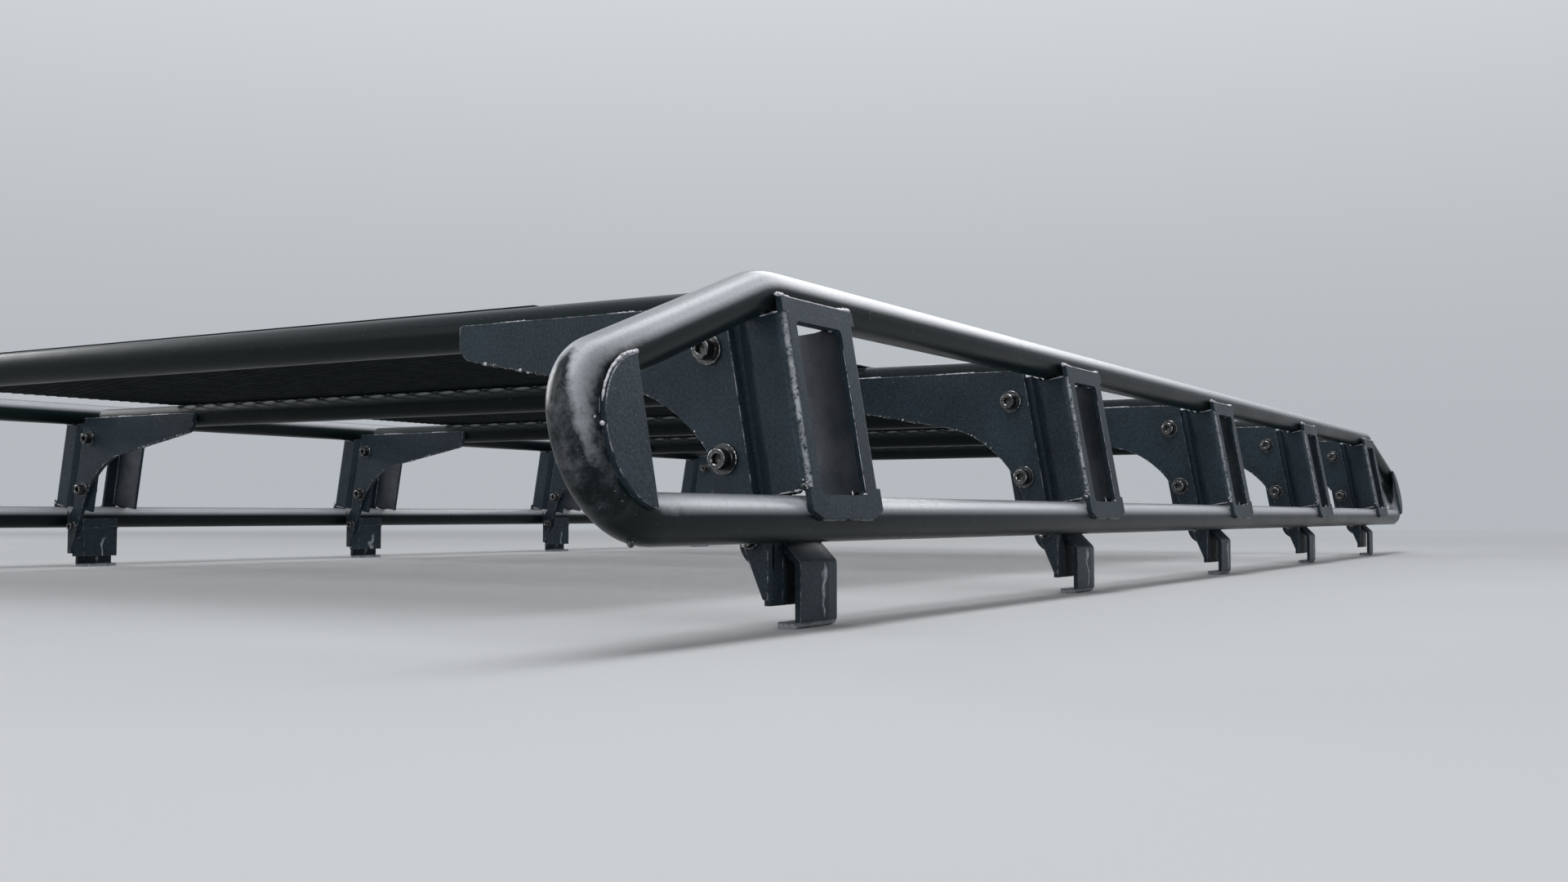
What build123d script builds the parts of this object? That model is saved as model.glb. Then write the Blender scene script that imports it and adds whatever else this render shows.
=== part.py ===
from build123d import *
import math
import os

os.makedirs("parts", exist_ok=True)

# Roof rack that clamps on a vehicle's two roof gutters, in millimetres.
# X is across, Y runs from front (low) to rear, Z is up from the clamps' lips.

# Tubes
tube_d = 28
tube_wall = 2.5
rail_gap = 138  # lower to upper tube centre, measured up the lean
rail_lean = 10  # degrees the side rails lean in at the top
rail_half_width = 700  # lower tube centre from the middle
rail_height = 66  # lower tube centre above the lips

# Uprights
upright_count = 5
upright_pitch = 490

# Bent noses at the four ends of the side rails
nose_reach = 235  # foremost tube centre from the upright
nose_rise = 72  # upper corner of its centre line above the lower tube's
nose_bend_r = 30  # upper bend; the lower one takes up what is left
nose_straight = 2  # between the two bends
drop_start = 45  # where the upper tube starts to drop
drop_bend_r = 90
nose_plate_w = 34  # from the foremost centre line back to its straight edge
nose_plate_inset = 2  # its two tips inside the tubes' centre lines

# Folded bracket of an upright: heights go up the lean from the lower tube centre
plate_t = 4
bracket_w = 90
bracket_low = -3
bracket_top = 131
channel_clearance = 2  # folded channel to each tube
corner_cut = (12, 5)  # bracket's lower corners, along the tube and up
window_w = 57
window_h = 106
window_low = 11.5
window_shift = -2.5
window_r = 4
fold_r = 6
step_fold_r = 3
rear_flange_in = 30  # inboard reach of the flanges from the tubes' plane
front_flange_in = 52
step_out = 8  # the front flange steps back between these, to seat the gusset
step_in = 17
gusset_out = 21.5

# Gusset legs and cross tubes
gusset_t = 6
cross_height = 194
cross_end_gap = 64  # cross tube's end to the lower tube's centre
gusset_rise = 2  # top edge above the cross tube's centre
gusset_tip = 443  # inboard end from the middle
gusset_tip_low = 23  # depth of the tip
gusset_slope = 10.5  # degrees the lower edge falls towards the leg
gusset_arc_r = 90
gusset_tip_r = 12
leg_angle = 22.9  # degrees of the leg's inner edge from upright
leg_w = 19  # leg's width at the clamp bolt
leg_low = 18
leg_flare_top = 82

# Gutter clamps
clamp_inset = 3  # outboard face inboard of the lower tube's centre
clamp_w = 50
clamp_bend = 40
clamp_fold_r = 5
lip_w = 16
slot_w = 9  # takes the gutter's upstanding edge, between hook and seat
seat_low = 14
seat_top = 64
tab_t = 5
tab_w = 22
tab_low = 36
clamp_bolt_height = 54

# Deck of expanded metal, drawn with wide meshes
deck_half_width = 490
deck_t = 3
deck_gap = 2
mesh_columns = 5
mesh_rows = 5
strand_w = 14

tube_r = tube_d / 2
bore_r = tube_r - tube_wall
lean = math.radians(rail_lean)
drop = math.atan((rail_gap - nose_rise) / (nose_reach - drop_start))
nose_low_bend_r = (
    nose_rise - nose_straight - nose_bend_r * math.tan((math.pi / 2 - drop) / 2)
)
channel_low = tube_r + channel_clearance
channel_top = rail_gap - tube_r - channel_clearance
plate_out = tube_r + plate_t
bracket_front = -bracket_w / 2
gusset_back = bracket_front + gusset_t
cross_back = gusset_back + tube_r
deck_low = cross_height + tube_r
clamp_out = rail_half_width - clamp_inset
seat_out = clamp_out - plate_t - slot_w
upright_ys = [
    (i - (upright_count - 1) / 2) * upright_pitch for i in range(upright_count)
]


def rail_plane(y):
    """The left rail's leaning plane: x runs rearward, y up the lean, z outboard."""
    return Plane(
        origin=(rail_half_width, y, rail_height),
        x_dir=(0, 1, 0),
        z_dir=(math.cos(lean), 0, math.sin(lean)),
    )


def level_plane(y, up):
    """Square to the lean at a height up it: x runs rearward, y inboard."""
    base = rail_plane(y)
    return Plane(base.origin + base.y_dir * up, x_dir=(0, 1, 0), z_dir=base.y_dir)


def cross_plane(y):
    """Upright plane across the rack: x runs left, y up, and the front is towards +z."""
    return Plane((0, y, 0), x_dir=(1, 0, 0), z_dir=(0, -1, 0))


def mirrored(piece, plane):
    with BuildPart() as twin:
        mirror(piece.part, about=plane)
    return twin


def paired(piece, plane):
    """The piece and its mirror image, as solids that stand apart."""
    with BuildPart() as pair:
        add(piece.part)
        mirror(about=plane)
    return pair


def keep(piece, name):
    piece.part.label = name
    export_step(piece.part, f"parts/{name}.step")


def rail(up):
    """Straight run of a side rail between the first and last uprights."""
    start = rail_plane(upright_ys[0]).from_local_coords((0, up, 0))
    with BuildPart() as piece:
        with BuildSketch(Plane(start, z_dir=(0, 1, 0))):
            Circle(tube_r)
            Circle(bore_r, mode=Mode.SUBTRACT)
        extrude(amount=upright_ys[-1] - upright_ys[0])
    return piece


def nose():
    """Tube bent round the front of a side rail, and the plate that laps over its bends.

    The rails close both of its ends, so its bore is left out.
    """
    plane = rail_plane(upright_ys[0])
    with BuildPart() as piece:
        with BuildLine(plane) as path:
            FilletPolyline(
                (0, rail_gap),
                (-drop_start, rail_gap),
                (-nose_reach, nose_rise),
                (-nose_reach, 0),
                (0, 0),
                radius=[drop_bend_r, nose_bend_r, nose_low_bend_r],
            )
        with BuildSketch(Plane(path.line @ 0, z_dir=path.line % 0)):
            Circle(tube_r)
        sweep()
    straight_edge = nose_reach - nose_plate_w
    tube_above = rail_gap - (straight_edge - drop_start) * math.tan(drop)
    low_tip = (-straight_edge, nose_plate_inset)
    high_tip = (-straight_edge, tube_above - nose_plate_inset)
    with BuildPart() as plate:
        with BuildSketch(plane.offset(tube_r)):
            with BuildLine():
                ThreePointArc(low_tip, (-nose_reach, tube_above / 2), high_tip)
                Line(high_tip, low_tip)
            make_face()
        extrude(amount=plate_t)
    return piece, plate


def bracket(y):
    """Folded channel between the tubes, its windowed face lapping over both."""
    half = bracket_w / 2
    with BuildPart() as piece:
        with BuildSketch(level_plane(y, channel_low)):
            with BuildLine():
                FilletPolyline(
                    (-bracket_front, rear_flange_in),
                    (-bracket_front, -plate_out),
                    (bracket_front, -plate_out),
                    (bracket_front, step_out),
                    (gusset_back, step_in),
                    (gusset_back, front_flange_in),
                    radius=[fold_r, fold_r, step_fold_r, step_fold_r],
                )
                offset(amount=plate_t, side=Side.RIGHT)
            make_face()
        extrude(amount=channel_top - channel_low)
        with BuildSketch(rail_plane(y).offset(tube_r)):
            Polygon(
                (-half, channel_low),
                (-half, bracket_low + corner_cut[1]),
                (-half + corner_cut[0], bracket_low),
                (half - corner_cut[0], bracket_low),
                (half, bracket_low + corner_cut[1]),
                (half, channel_low),
                align=None,
            )
            with Locations((0, (channel_top + bracket_top) / 2)):
                Rectangle(bracket_w, bracket_top - channel_top)
        extrude(amount=plate_t)
        with BuildSketch(rail_plane(y).offset(tube_r)):
            with Locations((window_shift, window_low + window_h / 2)):
                RectangleRounded(window_w, window_h, window_r)
        extrude(amount=plate_t, mode=Mode.SUBTRACT)
    return piece


def cross_tube(y):
    half = rail_half_width - cross_end_gap
    with BuildPart() as piece:
        with BuildSketch(Plane((-half, y + cross_back, cross_height), z_dir=(1, 0, 0))):
            Circle(tube_r)
            Circle(bore_r, mode=Mode.SUBTRACT)
        extrude(amount=2 * half)
    return piece


def at_lean(inboard, up):
    """X and Z of a point given inboard of the tubes' plane and up the lean."""
    point = rail_plane(0).from_local_coords((0, up, -inboard))
    return point.X, point.Z


def gusset_leg(y):
    """Flat plate from the cross tube's end down to the gutter."""
    top = cross_height + gusset_rise
    tip_low = top - gusset_tip_low
    leg_out = rail_half_width - tube_r
    leg_run = math.tan(math.radians(leg_angle))
    leg_in_bolt = leg_out - leg_w
    foot_in = leg_in_bolt + (clamp_bolt_height - leg_low) * leg_run
    fall = math.tan(math.radians(gusset_slope))
    # The knee is where the sloping lower edge meets the leg's inner edge.
    knee_z = (
        (tip_low - (leg_in_bolt + clamp_bolt_height * leg_run - gusset_tip) * fall)
        / (1 - leg_run * fall)
    )
    knee_x = leg_in_bolt - (knee_z - clamp_bolt_height) * leg_run
    edge_top = at_lean(gusset_out, rail_gap)
    edge_low = at_lean(gusset_out, (leg_flare_top - rail_height) / math.cos(lean))
    with BuildPart() as piece:
        with BuildSketch(cross_plane(y + gusset_back)):
            with BuildLine():
                FilletPolyline(
                    (gusset_tip, top),
                    (edge_top[0], top),
                    edge_low,
                    (leg_out, rail_height),
                    (leg_out, leg_low),
                    (foot_in, leg_low),
                    (knee_x, knee_z),
                    (gusset_tip, tip_low),
                    radius=[0, 0, 0, 0, 0, 0, gusset_arc_r, gusset_tip_r],
                    close=True,
                )
            make_face()
        extrude(amount=gusset_t)
    return piece


def gutter_clamp(y):
    """Hook round the gutter, with its seat in the gutter and its tab on the leg."""
    rise = clamp_out - seat_out
    with BuildPart() as piece:
        with BuildSketch(cross_plane(y)):
            with BuildLine():
                FilletPolyline(
                    (clamp_out - lip_w, 0),
                    (clamp_out, 0),
                    (clamp_out, clamp_bend),
                    (seat_out, clamp_bend + rise),
                    (seat_out, seat_top),
                    radius=clamp_fold_r,
                )
                offset(amount=plate_t, side=Side.LEFT)
            make_face()
        extrude(amount=clamp_w / 2, both=True)
        with BuildSketch(cross_plane(y + clamp_w / 2)):
            with Locations((seat_out, seat_low)):
                Rectangle(plate_t, seat_top - seat_low, align=(Align.MAX, Align.MIN))
        extrude(amount=clamp_w / 2 - gusset_back)
        with BuildSketch(cross_plane(y + gusset_back + tab_t)):
            with Locations((seat_out, tab_low)):
                Rectangle(tab_w, seat_top - tab_low, align=(Align.MAX, Align.MIN))
        extrude(amount=tab_t)
    return piece


def deck_panel(front, rear):
    """Diamond mesh between two cross tubes."""
    width = 2 * deck_half_width
    length = rear - front - deck_gap
    column = width / mesh_columns
    row = length / mesh_rows
    hole = [(0, row - strand_w), (column - strand_w * column / row, 0)]
    half_x = hole[1][0] / 2
    half_y = hole[0][1] / 2
    with BuildPart() as piece:
        with BuildSketch(Plane((0, (front + rear) / 2, deck_low))):
            Rectangle(width, length)
            for columns, rows in (
                (mesh_columns, mesh_rows),
                (mesh_columns - 1, mesh_rows - 1),
            ):
                with GridLocations(column, row, columns, rows):
                    Polygon(
                        (half_x, 0), (0, half_y), (-half_x, 0), (0, -half_y),
                        align=None, mode=Mode.SUBTRACT,
                    )
        extrude(amount=deck_t)
    return piece


front_nose, front_plate = nose()
front_noses = paired(front_nose, Plane.YZ)
keep(front_noses, "front_noses")
keep(mirrored(front_noses, Plane.XZ), "rear_noses")
keep(paired(paired(front_plate, Plane.YZ), Plane.XZ), "nose_plates")

sides = {"lower_rail": rail(0), "upper_rail": rail(rail_gap)}
for number, y in enumerate(upright_ys, start=1):
    sides[f"bracket_{number}"] = bracket(y)
    sides[f"gusset_leg_{number}"] = gusset_leg(y)
    sides[f"gutter_clamp_{number}"] = gutter_clamp(y)
    keep(cross_tube(y), f"cross_tube_{number}")
for name, piece in sides.items():
    keep(piece, f"{name}_left")
    keep(mirrored(piece, Plane.YZ), f"{name}_right")
for number, y in enumerate(upright_ys[:-1], start=1):
    panel = deck_panel(y + cross_back, y + cross_back + upright_pitch)
    keep(panel, f"deck_panel_{number}")
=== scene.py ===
"""Roof rack of bent steel tube and folded plate, dressed around its fixed frame."""

import random
from math import atan, atan2, ceil, copysign, cos, pi, radians, sin, sqrt, tan, tau

import bmesh
import bpy
from bpy.props import FloatProperty, FloatVectorProperty, IntProperty, PointerProperty
from mathutils import Matrix, Vector


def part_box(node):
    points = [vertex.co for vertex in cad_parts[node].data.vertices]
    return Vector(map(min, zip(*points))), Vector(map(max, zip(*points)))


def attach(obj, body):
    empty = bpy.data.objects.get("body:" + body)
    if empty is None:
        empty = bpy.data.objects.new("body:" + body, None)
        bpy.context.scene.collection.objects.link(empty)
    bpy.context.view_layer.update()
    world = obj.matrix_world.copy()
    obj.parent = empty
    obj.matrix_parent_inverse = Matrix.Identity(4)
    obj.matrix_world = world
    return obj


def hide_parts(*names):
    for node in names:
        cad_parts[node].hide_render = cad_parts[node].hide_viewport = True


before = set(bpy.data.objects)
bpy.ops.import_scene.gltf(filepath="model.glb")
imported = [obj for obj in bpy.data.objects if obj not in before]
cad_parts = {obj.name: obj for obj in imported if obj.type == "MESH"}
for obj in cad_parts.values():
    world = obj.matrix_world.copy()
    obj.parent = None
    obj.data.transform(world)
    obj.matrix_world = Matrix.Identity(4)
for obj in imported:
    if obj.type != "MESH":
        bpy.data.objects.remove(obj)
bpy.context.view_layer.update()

bl_info = {
    "name": "Steel roof rack",
    "version": (1, 0, 0),
    "blender": (4, 5, 0),
    "location": "3D View > Sidebar > Rack",
    "description": "Models and finishes the tubes, plates, mesh and welds of a roof rack",
    "category": "Add Mesh",
}

MM = 0.001
NEAR = 0.01 * MM
CUT_NEAR = 0.001 * MM

# Tubes
TUBE_R = 14 * MM
BORE_R = 11.5 * MM
RAIL_GAP = 138 * MM
LEAN = radians(10)
HALF_WIDTH = 700 * MM
RAIL_Z = 66 * MM
UPRIGHTS = [sum(corner[1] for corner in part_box(f"bracket_{n}_left")) / 2 for n in range(1, 6)]
SIDES = {"left": 1, "right": -1}
ENDS = ((UPRIGHTS[0], 1), (UPRIGHTS[-1], -1))
BEND_STEP = radians(5.5)

# Bent noses
NOSE_REACH = 235 * MM
NOSE_RISE = 72 * MM
NOSE_BEND = 30 * MM
NOSE_STRAIGHT = 2 * MM
DROP_START = 45 * MM
DROP = atan((RAIL_GAP - NOSE_RISE) / (NOSE_REACH - DROP_START))
DROP_BEND = 90 * MM
LOW_BEND = NOSE_RISE - NOSE_STRAIGHT - NOSE_BEND * tan((pi / 2 - DROP) / 2)
NOSE_PLATE_W = 34 * MM
NOSE_PLATE_CUT = NOSE_REACH - NOSE_PLATE_W
NOSE_PLATE_TOP = RAIL_GAP - (NOSE_PLATE_CUT - DROP_START) * tan(DROP)
NOSE_PLATE_HALF = NOSE_PLATE_TOP / 2 - 2 * MM
NOSE_PLATE_R = (NOSE_PLATE_HALF ** 2 + NOSE_PLATE_W ** 2) / (2 * NOSE_PLATE_W)
NOSE_PLATE_AT = (NOSE_PLATE_R - NOSE_REACH, NOSE_PLATE_TOP / 2)

# Brackets, measured from the lower tube's centre
PLATE_T = 4 * MM
BRACKET_HALF = 45 * MM
BRACKET_LOW = -3 * MM
BRACKET_TOP = 131 * MM
CHANNEL_LOW = 16 * MM
CHANNEL_TOP = 122 * MM
FACE_OUT = 18 * MM
CORNER_CUT = (12 * MM, 5 * MM)
WINDOW = (-31 * MM, 26 * MM, 11.5 * MM, 117.5 * MM)
WINDOW_R = 4 * MM
FOLD_R = 6 * MM
STEP_R = 3 * MM
REAR_FLANGE_IN = 30 * MM
FRONT_FLANGE_IN = 52 * MM
STEP_OUT = 8 * MM
STEP_IN = 17 * MM
GUSSET_BACK = -39 * MM
FLANGE_RISE = 8 * MM

# Gusset legs
GUSSET_T = 6 * MM
GUSSET_OUT = 21.5 * MM
GUSSET_TOP = 196 * MM
GUSSET_TIP = 443 * MM
GUSSET_TIP_LOW = 173 * MM
GUSSET_SLOPE = radians(10.5)
GUSSET_ARC = 90 * MM
GUSSET_TIP_R = 12 * MM
GUSSET_TOP_R = 3 * MM
LEG_ANGLE = radians(22.9)
LEG_OUT = HALF_WIDTH - TUBE_R
LEG_IN = LEG_OUT - 19 * MM
LEG_LOW = 18 * MM
FLARE_TOP = 82 * MM
CLAMP_SCREW_Z = 54 * MM

# Cross tubes and deck
CROSS_Z = 194 * MM
CROSS_BACK = GUSSET_BACK + TUBE_R
CROSS_HALF = HALF_WIDTH - 64 * MM
STRAND_TILT = 0.16

# Gutter clamps
CLAMP_OUT = HALF_WIDTH - 3 * MM
CLAMP_HALF = 25 * MM
CLAMP_BEND = 40 * MM
CLAMP_FOLD_R = 5 * MM
CREASE_AT = -0.42 * CLAMP_HALF
CREASE_HALF = 1.5 * MM
CREASE_ANGLE = radians(9)
LIP_W = 16 * MM
SEAT_OUT = CLAMP_OUT - 13 * MM
SEAT_LOW = 14 * MM
SEAT_TOP = 64 * MM
SEAT_GAP = 1 * MM
TAB_T = 5 * MM
TAB_W = 22 * MM
TAB_LOW = 36 * MM

# Screws: inboard of the tubes' plane, and heights up the lean
SCREW_IN = 37.5 * MM
SCREW_UP = (43 * MM, 111 * MM)
CLAMP_SCREW_IN = 26 * MM

# Screws in millimetres: radius and height of washer and head, width and depth of socket and nut
LARGE_SCREW = {"washer": (9.5, 2), "head": (6.5, 8), "socket": (6, 4), "nut": (13, 6.5)}
SMALL_SCREW = {"washer": (6, 1.6), "head": (5, 6), "socket": (5, 3), "nut": (10, 5)}
KNURL = 0.22

# Wear and painted light: where the scuffs and the painted shade of the front bends centre, and
# between which widths paint and painted light change
SCUFF_AND_SHADE_AT = (0, UPRIGHTS[0] - NOSE_REACH - TUBE_R, RAIL_Z + 38 * MM)
RAIL_SHEEN_IN = 655 * MM
WINDOW_LIGHT_OUT = 725 * MM
WINDOW_LIGHT_IN = 690 * MM
CREASE_HIGHLIGHT_BACK = 3 * MM


def length(name, description, default):
    return FloatProperty(
        name=name, description=description, default=default * MM, unit="LENGTH", precision=5)


def amount(name, description, default, most, least=0):
    return FloatProperty(
        name=name, description=description, default=default, min=least, max=most)


def angle(name, description, degrees):
    return FloatProperty(
        name=name, description=description, default=radians(degrees), subtype="ANGLE",
        unit="ROTATION")


def colour(name, description, *default):
    return FloatVectorProperty(
        name=name, description=description, default=default, subtype="COLOR", min=0, max=1)


class RackSizes(bpy.types.PropertyGroup):
    tube_sides: IntProperty(
        name="Tube sides", description="Facets round each tube", default=48, min=12, max=96)
    rim: length("Rim", "Width of the broken edges of cut plate", 0.5)
    bead: length("Weld bead", "Radius of a weld bead", 2.1)
    bead_pitch: length("Bead pitch", "Distance from ripple to ripple along a weld", 1.7)
    mesh_long: length("Mesh length", "Long way of one diamond, across the rack", 36)
    mesh_short: length("Mesh width", "Short way of one diamond, along the rack", 14)
    strand: length("Strand", "Width of the strands of the expanded metal", 2.6)
    mesh_sheet: length("Mesh sheet", "Thickness of the expanded metal", 1.5)


class RackFinish(bpy.types.PropertyGroup):
    tube: colour("Tube paint", "Semi-gloss black of the tubes", 0.004, 0.009, 0.010)
    plate: colour(
        "Plate paint", "Satin slate black of the cut and folded plates", 0.024, 0.040, 0.054)
    # rubbed_and_lit: greyed paint on scuffs and plate edges, and also the painted light on each
    # bracket's rear flange seen through its window
    rubbed_and_lit: colour("Rubbed paint", "Greyed paint on scuffs and plate edges", 0.26, 0.265, 0.29)
    # primer_and_highlight: pale undercoat where weld paint has chipped, also standing in as
    # painted highlights on tacks and thin weld lines
    primer_and_highlight: colour(
        "Pale primer", "Primer that shows where weld has shed its paint", 0.50, 0.49, 0.55)
    steel: colour("Bare steel", "Worn rims of the screws", 0.56, 0.56, 0.56)
    oxide: colour("Black oxide", "Unworn faces of the screws", 0.006, 0.006, 0.007)
    # painted_sheen: a painted highlight on the tops of the tubes, on plate folds and along the
    # clamp creases, standing in for the sky's reflection
    painted_sheen: colour("Film", "Pale film that dulls the tops of the tubes", 0.38, 0.40, 0.43)
    dust: colour("Dust", "Road dust that lies on upper faces", 0.21, 0.21, 0.22)
    dusting: amount("Dusting", "How much dust lies on upper faces", 0.10, 1)


class RackStage(bpy.types.PropertyGroup):
    eye: FloatVectorProperty(
        name="Eye", description="Place of the camera", default=(1.150, -1.800, 0.068),
        subtype="TRANSLATION", unit="LENGTH")
    pitch: angle("Pitch", "Tilt of the camera up from straight down", 92.8)
    yaw: angle("Yaw", "Turn of the camera to the left", 30.3)
    lens: amount("Lens", "Focal length on a 36 mm sensor", 35.0, 200, least=10)
    floor: colour("Floor", "Pale floor", 0.42, 0.43, 0.44)
    horizon: colour("Horizon", "Backdrop at the level of the eye", 0.46, 0.49, 0.52)
    sky: colour("Sky", "Backdrop overhead", 0.93, 0.96, 1.0)
    ambient: amount("Ambient", "Strength of the even light from all round", 0.35, 3)
    softbox: amount(
        "Softbox", "Radiance of the lamps' faces, where white paper is 1", 10.0, 100)


# Meshes by extrusion

def edges_among(verts):
    """Edges whose two ends are both in the list, in a fixed order."""
    inside = set(verts)
    found = {}
    for vert in verts:
        for edge in vert.link_edges:
            if edge.other_vert(vert) in inside:
                found[edge] = None
    return list(found)


def only_verts(geom):
    return [item for item in geom if isinstance(item, bmesh.types.BMVert)]


def shared_edges(bm):
    """Edges between two faces."""
    return [edge for edge in bm.edges if len(edge.link_faces) == 2]


def whole(bm):
    return bm.verts[:] + bm.edges[:] + bm.faces[:]


def ring(bm, radius, at, along, sides, squash=1.0):
    """Circle of vertices square to a direction."""
    turn = Vector(along).to_track_quat("Z", "Y").to_matrix().to_4x4()
    place = Matrix.Translation(at) @ turn @ Matrix.Diagonal((1, squash, 1, 1))
    made = bmesh.ops.create_circle(bm, segments=sides, radius=radius, matrix=place)
    return made["verts"]


def push(bm, row, move=(0, 0, 0), size=1.0, about=None):
    """Extrudes a row or ring, then moves and scales what is new."""
    made = bmesh.ops.extrude_edge_only(bm, edges=edges_among(row))
    fresh = only_verts(made["geom"])
    bmesh.ops.translate(bm, verts=fresh, vec=move)
    if size != 1.0:
        bmesh.ops.scale(
            bm, verts=fresh, vec=(size, size, size), space=Matrix.Translation(-Vector(about)))
    return fresh


def cap(bm, row):
    bmesh.ops.contextual_create(bm, geom=edges_among(row))


def orient(bm):
    bmesh.ops.recalc_face_normals(bm, faces=bm.faces)


def close_up(bm):
    bmesh.ops.remove_doubles(bm, verts=bm.verts, dist=NEAR)
    orient(bm)


def face_from(bm, points):
    """One face through points given as 2D or 3D corners."""
    return bm.faces.new([bm.verts.new(Vector(point).to_3d()) for point in points])


def sheet(bm, points, move):
    """Flat faces along an open outline. Returns the folds between them."""
    row = [bm.verts.new(point) for point in points]
    for pair in zip(row, row[1:]):
        bm.edges.new(pair)
    push(bm, row, move)
    return shared_edges(bm)


def thicken(bm, faces, depth):
    """Raises a closed plate from flat faces."""
    made = bmesh.ops.extrude_face_region(bm, geom=faces)
    bmesh.ops.translate(bm, verts=only_verts(made["geom"]), vec=(0, 0, depth))


def slice_at(bm, point, normal, geom=None, near=CUT_NEAR, clear=False):
    """Cuts along a plane, and may clear what lies past it."""
    bmesh.ops.bisect_plane(
        bm, geom=geom or whole(bm), dist=near, plane_co=point, plane_no=normal,
        clear_outer=clear)


def bevel(bm, geom, offset, segments, affect="EDGES", **how):
    """Rounds edges or corners. Returns the new faces."""
    made = bmesh.ops.bevel(
        bm, geom=geom, offset=offset, segments=segments, profile=0.5, affect=affect,
        material=-1, **how)
    return made["faces"]


def round_corner(bm, vert, radius, segments):
    """Rounds a flat outline's corner to a radius."""
    a, b = [edge.other_vert(vert).co - vert.co for edge in vert.link_edges]
    bevel(bm, [vert], radius / tan(a.angle(b) / 2), segments, "VERTICES")


def fold_edge(bm, edge, radius, segments, mark=None):
    """Rounds a fold to a radius, and may mark its new faces."""
    for face in bevel(bm, [edge], radius * tan(edge.calc_face_angle() / 2), segments):
        if mark is not None:
            face[mark] = 1.0


def break_edges(bm, width, segments=2):
    """Bevels every sharp edge and marks the new faces for wear."""
    mark = bm.faces.layers.float.get("rim") or bm.faces.layers.float.new("rim")
    sharp = [edge for edge in shared_edges(bm) if edge.calc_face_angle() > radians(50)]
    for face in bevel(bm, sharp, width, segments, clamp_overlap=True):
        face[mark] = 1.0


def rail_space(side, y):
    """From (rearward, up the lean, outboard) at an upright to the rack's own axes."""
    place = Matrix((
        (0, -sin(LEAN), cos(LEAN), HALF_WIDTH),
        (1, 0, 0, y),
        (0, cos(LEAN), sin(LEAN), RAIL_Z),
        (0, 0, 0, 1),
    ))
    return Matrix.Diagonal((side, 1, 1, 1)) @ place


def nose_space(side, y, turn):
    """Rail space at an end's upright, turned round at the rear."""
    return rail_space(side, y) @ Matrix.Diagonal((turn, 1, 1, 1))


def cross_space(side, y):
    """From (outboard, up, forward) to the rack's own axes."""
    place = Matrix(((1, 0, 0, 0), (0, 0, -1, y), (0, 1, 0, 0), (0, 0, 0, 1)))
    return Matrix.Diagonal((side, 1, 1, 1)) @ place


def gusset_space(side, y):
    return cross_space(side, y + GUSSET_BACK)


def lean_point(inboard, up):
    """Outboard and height of a point given inboard of the tubes and up the lean."""
    return (
        HALF_WIDTH - up * sin(LEAN) - inboard * cos(LEAN),
        RAIL_Z + up * cos(LEAN) - inboard * sin(LEAN),
    )


def placed(source, matrix):
    """A copy of a mesh in its place, turned right side out where it is mirrored."""
    bm = source.copy()
    bmesh.ops.transform(bm, matrix=matrix, verts=bm.verts)
    if matrix.determinant() < 0:
        bmesh.ops.reverse_faces(bm, faces=bm.faces)
    return bm


def join(target, extra):
    """Adds one bmesh to another and frees it."""
    mesh = bpy.data.meshes.new("part")
    extra.to_mesh(mesh)
    extra.free()
    target.from_mesh(mesh)
    bpy.data.meshes.remove(mesh)


def gathered(pattern, places):
    """One mesh of placed copies; frees the pattern."""
    bm = bmesh.new()
    for place in places:
        join(bm, placed(pattern, place))
    pattern.free()
    return bm


def crisp(bm, limit):
    """Marks edges sharp past an angle, and where a broken rim meets its flat face."""
    mark = bm.faces.layers.float.get("rim")
    for edge in shared_edges(bm):
        one, other = edge.link_faces
        border = mark is not None and one[mark] != other[mark]
        edge.smooth = not border and edge.calc_face_angle(0) < radians(limit)
    for face in bm.faces:
        face.smooth = True


def add_object(name, data):
    made = bpy.data.objects.new(name, data)
    bpy.context.scene.collection.objects.link(made)
    return made


def add_mesh(name, bm, material):
    """An object of a bmesh, which is freed."""
    mesh = bpy.data.meshes.new(name)
    bm.to_mesh(mesh)
    bm.free()
    mesh.materials.append(material)
    return add_object(name, mesh)


def show(name, bm, material, nodes=(), sharp=38, flat=False):
    """Makes a piece with its finish, in the place of solid nodes."""
    crisp(bm, sharp)
    piece = add_mesh(name, bm, material)
    if flat:
        level = piece.modifiers.new("flat faces", "WEIGHTED_NORMAL")
        level.keep_sharp = True
    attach(piece, "root")
    if nodes:
        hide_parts(*nodes)


def show_at_uprights(kind, pattern, space):
    """Shows a painted copy of one plate at every upright."""
    for name, side in SIDES.items():
        for number, y in enumerate(UPRIGHTS, start=1):
            node = f"{kind}_{number}_{name}"
            show(node + "_painted", placed(pattern, space(side, y)),
                 plate_paint(), [node], flat=True)
    pattern.free()


# Materials

class Field:
    """Output of a node, which can be reckoned with."""

    def __init__(self, paint, socket):
        self.paint = paint
        self.socket = socket

    def math(self, operation, *others):
        inputs = dict(enumerate((self, *others)))
        return self.paint.node("ShaderNodeMath", inputs, operation=operation)

    def __add__(self, other):
        return self.math("ADD", other)

    def __sub__(self, other):
        return self.math("SUBTRACT", other)

    def __rsub__(self, other):
        return self.paint.node("ShaderNodeMath", {0: other, 1: self}, operation="SUBTRACT")

    def __mul__(self, other):
        return self.math("MULTIPLY", other)

    def __abs__(self):
        return self.math("ABSOLUTE")

    def span(self, low, high, to_low=0.0, to_high=1.0, **settings):
        """Maps one range to another and stays inside it."""
        return self.paint.node("ShaderNodeMapRange", {
            "Value": self, "From Min": low, "From Max": high,
            "To Min": to_low, "To Max": to_high}, clamp=True, **settings)


def most(first, *others):
    """The largest of some fields."""
    for other in others:
        first = first.math("MAXIMUM", other)
    return first


def dimmed(color, share):
    return tuple(share * part for part in color)


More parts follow.
